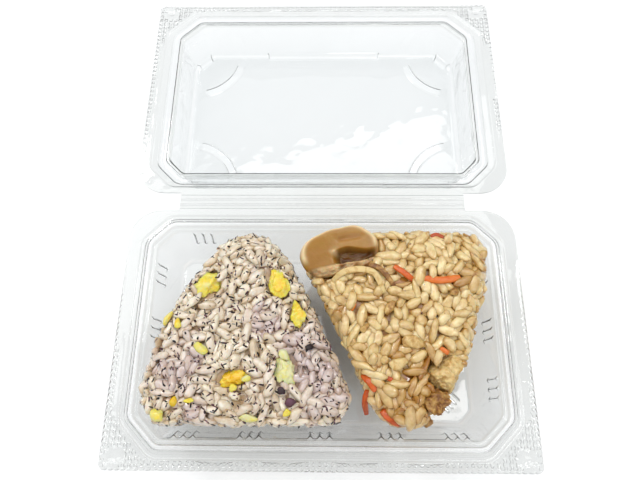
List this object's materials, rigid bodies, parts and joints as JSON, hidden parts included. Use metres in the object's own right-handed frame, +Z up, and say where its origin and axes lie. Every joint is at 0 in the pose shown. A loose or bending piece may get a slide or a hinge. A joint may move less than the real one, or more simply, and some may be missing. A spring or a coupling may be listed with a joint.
{
  "type": "onigiri set",
  "caption": "Takeaway rice meal: pressed triangles of shiso rice and seasoned mixed rice in a clear hinged pack that lies open.",
  "frame": {"origin": "on the flat underside of the tray, 53 mm in front of the fold line, midway across", "axes": "+X to the right along the fold line, +Y from the tray's front edge to the open lid, +Z up"},
  "size_m": [0.154, 0.204, 0.0355],
  "materials": {
    "clear_film": "clear, thin, glossy moulded sheet",
    "shiso_rice": "moist cooked rice, pale lilac white",
    "shiso_leaf": "dry crumbled leaf, purple black",
    "yellow_pickle": "wet, slightly see-through pickled radish",
    "mixed_rice": "moist rice cooked in stock, golden",
    "carrot": "soft cooked carrot strips",
    "fried_tofu": "spongy fried bean curd",
    "mushroom_cap": "smooth simmered mushroom"
  },
  "bodies": {
    "tray": {"base_tray": "clear_film", "shiso_rice_ball": "shiso_rice", "mixed_rice_ball": "mixed_rice", "mushroom_piece": "mushroom_cap", "fried_tofu_1": "fried_tofu", "fried_tofu_2": "fried_tofu", "pickle_1": "yellow_pickle", "pickle_2": "yellow_pickle", "pickle_3": "yellow_pickle", "pickle_4": "yellow_pickle", "pickle_5": "yellow_pickle"},
    "lid": {"lid": "clear_film"}
  },
  "joints": [
    {"name": "lid_hinge", "type": "hinge", "parent": "tray", "child": "lid", "pos_m": [0, 0.053, 0.02015], "axis": [1, 0, 0], "range_deg": [0, 180]}
  ]
}
